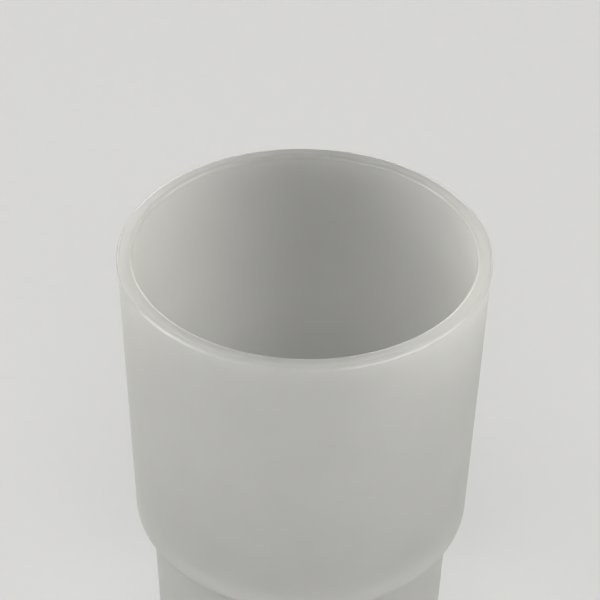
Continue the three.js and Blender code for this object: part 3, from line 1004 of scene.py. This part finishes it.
# %% Floor
FLOOR_GAP = 0.5 * MM
FLOOR_REACH = 6.0
FLOOR_SHOWN = (0.36, 0.36, 0.356)
FLOOR_BOUNCE = (0.18, 0.18, 0.178)
FLOOR_GLOW = 0.42
FLOOR_GLOW_TONE = (1, 1, 0.99, 1)
FLOOR_GRAIN = 4 * MM
FLOOR_ROUGHNESS = (0.8, 0.95)


def math_node(tree, operation, first, second):
    """A math node on sockets or plain numbers."""
    node = tree.nodes.new("ShaderNodeMath")
    node.operation = operation
    for value, socket in zip((first, second), node.inputs):
        if isinstance(value, (int, float)):
            socket.default_value = value
        else:
            tree.links.new(value, socket)
    return node.outputs[0]


def shows_backdrop(tree):
    """1 for rays that show the backdrop, straight or by way of metal and glass, and 0 for the others."""
    path = tree.nodes.new("ShaderNodeLightPath")
    by_metal = math_node(tree, "MAXIMUM", path.outputs["Is Camera Ray"], path.outputs["Is Glossy Ray"])
    return math_node(tree, "MAXIMUM", by_metal, path.outputs["Is Transmission Ray"])


def floor_finish():
    finish, tree, shader = new_finish("pale_floor")
    shows = shows_backdrop(tree)
    tree.links.new(tones(tree, shows, [(0, FLOOR_BOUNCE), (1, FLOOR_SHOWN)]), shader.inputs["Base Color"])
    tree.links.new(between(tree, grain(tree, FLOOR_GRAIN), *FLOOR_ROUGHNESS), shader.inputs["Roughness"])
    tree.links.new(math_node(tree, "MULTIPLY", shows, FLOOR_GLOW), shader.inputs["Emission Strength"])
    shader.inputs["Emission Color"].default_value = FLOOR_GLOW_TONE
    underside = tree.nodes.new("ShaderNodeNewGeometry").outputs["Backfacing"]
    clear = tree.nodes.new("ShaderNodeBsdfTransparent")
    mix = tree.nodes.new("ShaderNodeMixShader")
    tree.links.new(underside, mix.inputs["Fac"])
    tree.links.new(shader.outputs["BSDF"], mix.inputs[1])
    tree.links.new(clear.outputs["BSDF"], mix.inputs[2])
    tree.links.new(mix.outputs["Shader"], tree.nodes["Material Output"].inputs["Surface"])
    return finish


def make_floor(height):
    mesh = bmesh.new()
    bmesh.ops.create_grid(mesh, x_segments=2, y_segments=2, size=FLOOR_REACH)
    floor = new_piece("floor_sheet", mesh)
    floor.data.transform(Matrix.Translation((0, 0, height)))
    floor.data.materials.append(floor_finish())


make_floor(cad_box[0][2] - FLOOR_GAP)
print("floor at", round((cad_box[0][2] - FLOOR_GAP) / MM, 2), "mm")

# %% [markdown]
# ## Studio light
# Soft boxes stand well away, because lamps that stood closer would burn bright pools into the floor.
# Those at the sides make the sides of the glass and the ends of its rim its brightest parts. A high box
# and two low strips light its front, and only weak boxes stand behind, so the far wall inside stays
# darker. Two boxes take part in some rays only. The high box in front would be mirrored as a hard streak
# on the rim, so it lights and is not mirrored. The low box behind is only mirrored, and draws thin bright
# lines along the rim's polished edges. All lamps are a little warmer than white. The sky throws no light,
# and is there for the camera and the chrome.

# %% Sky
SKY_HORIZON = (0.70, 0.70, 0.692)
SKY_ZENITH = (0.16, 0.165, 0.17)
SKY_STOPS = (0.05, 0.9)  # upward part of a direction, where the sky starts and ends darkening


def make_sky():
    world = bpy.data.worlds.new("studio")
    bpy.context.scene.world = world
    world.use_nodes = True
    tree = world.node_tree
    place = tree.nodes.new("ShaderNodeTexCoord")
    direction = tree.nodes.new("ShaderNodeSeparateXYZ")
    tree.links.new(place.outputs["Generated"], direction.inputs["Vector"])
    fade = tones(tree, direction.outputs["Z"], list(zip(SKY_STOPS, (SKY_HORIZON, SKY_ZENITH))))
    shown = tree.nodes["Background"]
    tree.links.new(fade, shown.inputs["Color"])
    tree.links.new(shows_backdrop(tree), shown.inputs["Strength"])


make_sky()
print("sky shades from", SKY_HORIZON, "at the horizon to", SKY_ZENITH)

# %% Soft boxes
LAMP_TONE = (1, 0.985, 0.95)
NOT_MIRRORED = {"front_high_box"}
ONLY_MIRRORED = {"back_low_box"}
AIM_HEIGHT = 0.7  # share of the glass's height
lamp_aim = tumbler_foot + Vector((0, 0, tumbler_height * AIM_HEIGHT))


def soft_box(name, offset, width, height, power):
    """A lamp of this width and height in metres, aimed at the glass from an offset."""
    lamp = bpy.data.lights.new(name, "AREA")
    lamp.color = LAMP_TONE
    lamp.shape = "RECTANGLE"
    lamp.size = width
    lamp.size_y = height
    lamp.energy = power
    stand = bpy.data.objects.new(name, lamp)
    bpy.context.scene.collection.objects.link(stand)
    stand.location = lamp_aim + Vector(offset)
    stand.rotation_euler = (-Vector(offset)).to_track_quat("-Z", "Y").to_euler()
    stand.visible_camera = False
    stand.visible_glossy = name not in NOT_MIRRORED
    stand.visible_diffuse = name not in ONLY_MIRRORED
    print(name, power, "W")


for name, offset, width, height, power in [
    ("front_high_box", (0, -2.0, 2.2), 1.6, 1.6, 52.5),
    ("front_left_strip", (-2.1, -2.1, -0.03), 2.0, 0.1, 15.0),
    ("front_right_strip", (2.1, -2.1, -0.03), 2.0, 0.1, 37.0),
    ("left_box", (-2.4, -0.4, 0.4), 1.6, 0.9, 31.2),
    ("left_high_box", (-2.0, -0.4, 1.6), 1.6, 1.6, 6.9),
    ("right_box", (2.4, -0.4, 0.4), 1.6, 0.9, 16.8),
    ("right_high_box", (2.0, -0.4, 1.6), 1.6, 1.6, 5.7),
    ("back_left_box", (-2.0, 1.8, 0.5), 1.6, 0.9, 3.6),
    ("back_high_box", (0, 2.0, 2.0), 1.6, 1.6, 6.2),
    ("back_low_box", (0, 2.6, 0.65), 1.8, 1.1, 20.0),
]:
    soft_box(name, offset, width, height, power)

# %% [markdown]
# ## Camera
# The view looks down into the glass from the front. The lens is long, so that the rim's near and far
# halves have almost the same scale, and small turns about the lens's own axes put the glass where it is
# in the frame.

# %% Camera
LENS = 120  # mm, on a 36 mm wide sensor
VIEW_DISTANCE = 0.3605  # metres from the middle of the rim
VIEW_ELEVATION = 0.6232  # radians above level
VIEW_TURN = 0.0020
VIEW_TILT = 0.0254
VIEW_ROLL = 0.0170
CLIP_START = 0.01


def make_camera():
    rim_centre = tumbler_foot + Vector((0, 0, tumbler_height))
    back = Vector((0, -math.cos(VIEW_ELEVATION), math.sin(VIEW_ELEVATION)))
    aim = (-back).to_track_quat("-Z", "Y").to_matrix()
    turn = Matrix.Rotation(VIEW_TURN, 3, "Y")
    tilt = Matrix.Rotation(-VIEW_TILT, 3, "X")
    roll = Matrix.Rotation(VIEW_ROLL, 3, "Z")
    camera = bpy.data.objects.new("front_camera", bpy.data.cameras.new("front_camera"))
    camera.data.lens = LENS
    camera.data.clip_start = CLIP_START
    place = rim_centre + VIEW_DISTANCE * back
    camera.matrix_world = Matrix.LocRotScale(place, aim @ turn @ tilt @ roll, None)
    bpy.context.scene.collection.objects.link(camera)
    bpy.context.scene.camera = camera
    return camera


camera = make_camera()
bpy.context.scene.view_settings.view_transform = "Standard"
print("camera at", [round(value, 4) for value in camera.matrix_world.translation])
